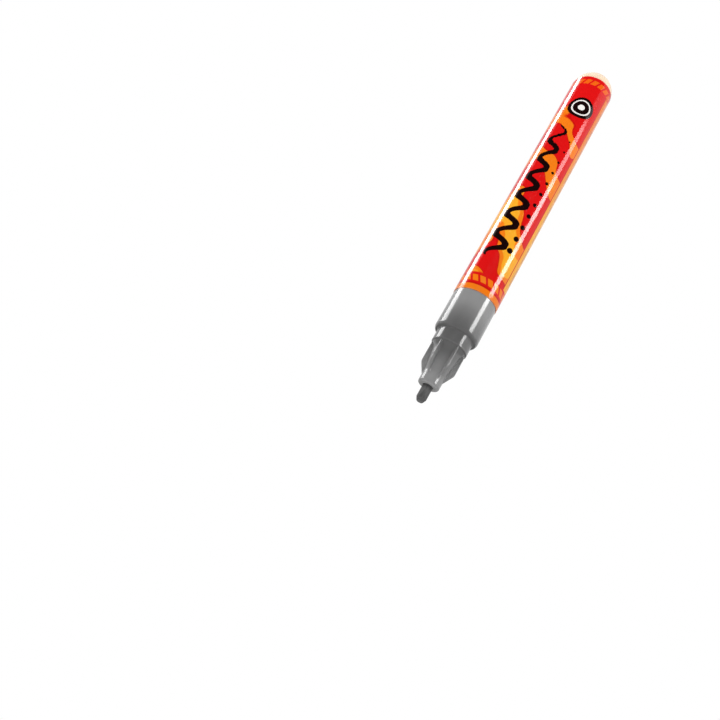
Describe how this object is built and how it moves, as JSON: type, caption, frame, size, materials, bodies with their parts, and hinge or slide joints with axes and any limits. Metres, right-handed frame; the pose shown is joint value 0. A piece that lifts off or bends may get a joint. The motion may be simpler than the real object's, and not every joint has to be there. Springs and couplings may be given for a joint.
{
  "type": "paint marker",
  "caption": "Uncapped pump-action paint marker: printed round barrel with a domed end, screw-on grey front section, finned nozzle and sprung fibre nib that opens a valve when pressed.",
  "frame": {"origin": "tip of the nib, on the marker's axis", "axes": "+Z along the axis from the nib to the closed end of the barrel; +X to the right and -Y towards the viewer's side of the label"},
  "size_m": [0.014, 0.014, 0.1341],
  "materials": {
    "barrel_plastic": "glossy natural white",
    "label_film": "glossy printed film",
    "grey_plastic": "glossy mid grey",
    "seal_rubber": "matte black",
    "nib_fibre": "pressed fibre soaked with grey paint",
    "valve_plastic": "natural acetal",
    "spring_steel": "bright drawn wire",
    "ball_steel": "polished steel"
  },
  "bodies": {
    "barrel": {"barrel": "barrel_plastic", "label_sleeve": "label_film"},
    "collar_gasket": {"collar_gasket": "seal_rubber"},
    "front_section": {"collar": "grey_plastic", "nozzle": "grey_plastic", "valve_housing": "valve_plastic", "valve_cage": "valve_plastic", "valve_spring": "spring_steel"},
    "plunger": {"nib": "nib_fibre", "valve_stem": "valve_plastic", "valve_seal": "seal_rubber"},
    "mixing_ball_1": {"mixing_ball_1": "ball_steel"},
    "mixing_ball_2": {"mixing_ball_2": "ball_steel"}
  },
  "joints": [
    {"name": "collar_advance", "type": "slide", "parent": "barrel", "child": "collar_gasket", "axis": [0, 0, -1], "range_m": [0, 0.006]},
    {"name": "collar_turn", "type": "hinge", "parent": "collar_gasket", "child": "front_section", "pos_m": [0, 0, 0.0351], "axis": [0, 0, -1], "range_deg": [0, 1080]},
    {"name": "nib_press", "type": "slide", "parent": "front_section", "child": "plunger", "axis": [0, 0, 1], "range_m": [0, 0.002], "stiffness_N_per_m": 600, "springref_m": -0.0005, "deforming": ["valve_spring"]},
    {"name": "mixing_ball_1_slide", "type": "slide", "parent": "barrel", "child": "mixing_ball_1", "axis": [0, 0, 1], "range_m": [0, 0.0818]},
    {"name": "mixing_ball_2_slide", "type": "slide", "parent": "barrel", "child": "mixing_ball_2", "axis": [0, 0, 1], "range_m": [0, 0.0818]}
  ],
  "couplings": [
    {"joint": "collar_advance", "follows": "collar_turn", "m_per_rad": 0.00031831}
  ]
}
